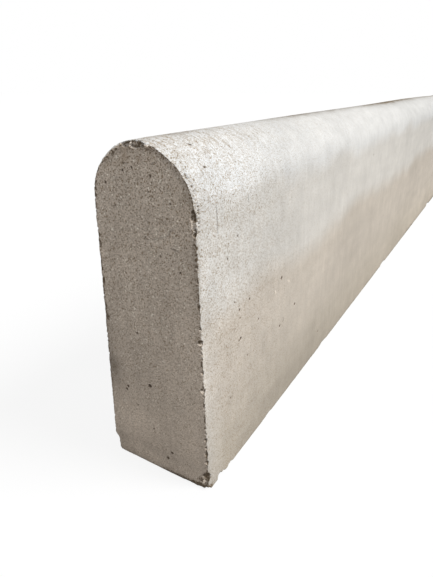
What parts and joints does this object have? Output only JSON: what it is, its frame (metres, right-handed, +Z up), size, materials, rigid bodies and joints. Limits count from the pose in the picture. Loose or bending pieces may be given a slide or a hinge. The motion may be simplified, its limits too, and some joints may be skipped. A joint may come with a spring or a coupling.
{
  "type": "concrete kerb stone",
  "caption": "Long round-topped concrete edging stone, cast in one piece with slightly leaning sides, that stands on a flat bed and edges a path, lawn or drive.",
  "frame": {"origin": "middle of the flat bed face that the stone stands on", "axes": "+X along the length, +Y across the width, +Z up from the bed to the crown"},
  "size_m": [0.915, 0.055, 0.15],
  "materials": {
    "cast_concrete": "as cast: matt pale warm grey, fine sandy grain, small blow holes, crumbly chipped arrises"
  },
  "bodies": {
    "root": {"kerb_stone": "cast_concrete"}
  },
  "joints": []
}
